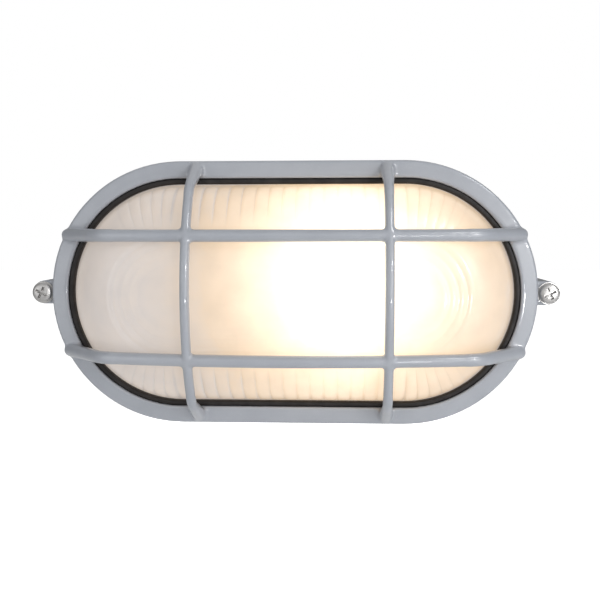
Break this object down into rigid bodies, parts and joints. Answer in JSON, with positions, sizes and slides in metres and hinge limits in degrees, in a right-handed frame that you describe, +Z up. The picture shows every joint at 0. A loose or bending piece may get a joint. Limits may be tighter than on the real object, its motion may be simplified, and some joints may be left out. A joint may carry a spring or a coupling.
{
  "type": "bulkhead light",
  "caption": "Oval wall light with a cast guard of crossing bars over ribbed glass, a screw-cap lamp inside and a front that comes off with a screw at each end.",
  "frame": {"origin": "middle of the back, on the wall's face, halfway between the two wall holes", "axes": "+X along the length to the right as seen from the front, +Z up, +Y into the wall, so the front faces -Y"},
  "size_m": [0.2152, 0.092, 0.106],
  "materials": {
    "cast_paint": "blue-grey powder coat on die-cast aluminium",
    "pressed_glass": "frosted inside, ribbed outside",
    "black_rubber": "moulded",
    "plated_steel": "zinc plated",
    "white_sheet": "white enamel on aluminium sheet",
    "porcelain": "glazed porcelain",
    "brass": "plain",
    "lamp_glass": "opal inside",
    "cream_plastic": "moulded",
    "brown_sheath": "wire sheath",
    "blue_sheath": "wire sheath",
    "green_sheath": "wire sheath"
  },
  "bodies": {
    "housing": {"base_housing": "cast_paint", "reflector": "white_sheet", "reflector_screws": "plated_steel", "holder_bracket": "plated_steel", "bracket_screws": "plated_steel", "holder_body": "porcelain", "holder_sleeve": "brass", "holder_contact": "brass", "holder_terminals": "brass", "holder_clamp_screws": "plated_steel", "holder_screws": "plated_steel", "bulb": "lamp_glass", "terminal_block": "cream_plastic", "terminal_tubes": "brass", "terminal_screws": "plated_steel", "block_screws": "plated_steel", "earth_screw": "brass", "earth_lug": "brass", "cable_grommet": "black_rubber", "live_wire": "brown_sheath", "neutral_wire": "blue_sheath", "earth_wire": "green_sheath"},
    "cover": {"guard_frame": "cast_paint", "glass_lens": "pressed_glass", "glass_gasket": "black_rubber", "washer_left": "plated_steel", "washer_right": "plated_steel"},
    "screw_left": {"screw_left": "plated_steel"},
    "screw_right": {"screw_right": "plated_steel"}
  },
  "joints": [
    {"name": "cover_lift", "type": "slide", "parent": "housing", "child": "cover", "axis": [0, -1, 0], "range_m": [0, 0.06]},
    {"name": "screw_left_turn", "type": "hinge", "parent": "cover", "child": "screw_left", "pos_m": [-0.1028, -0.0564, 0], "axis": [0, -1, 0], "continuous": true},
    {"name": "screw_right_turn", "type": "hinge", "parent": "cover", "child": "screw_right", "pos_m": [0.1028, -0.0564, 0], "axis": [0, -1, 0], "continuous": true}
  ]
}
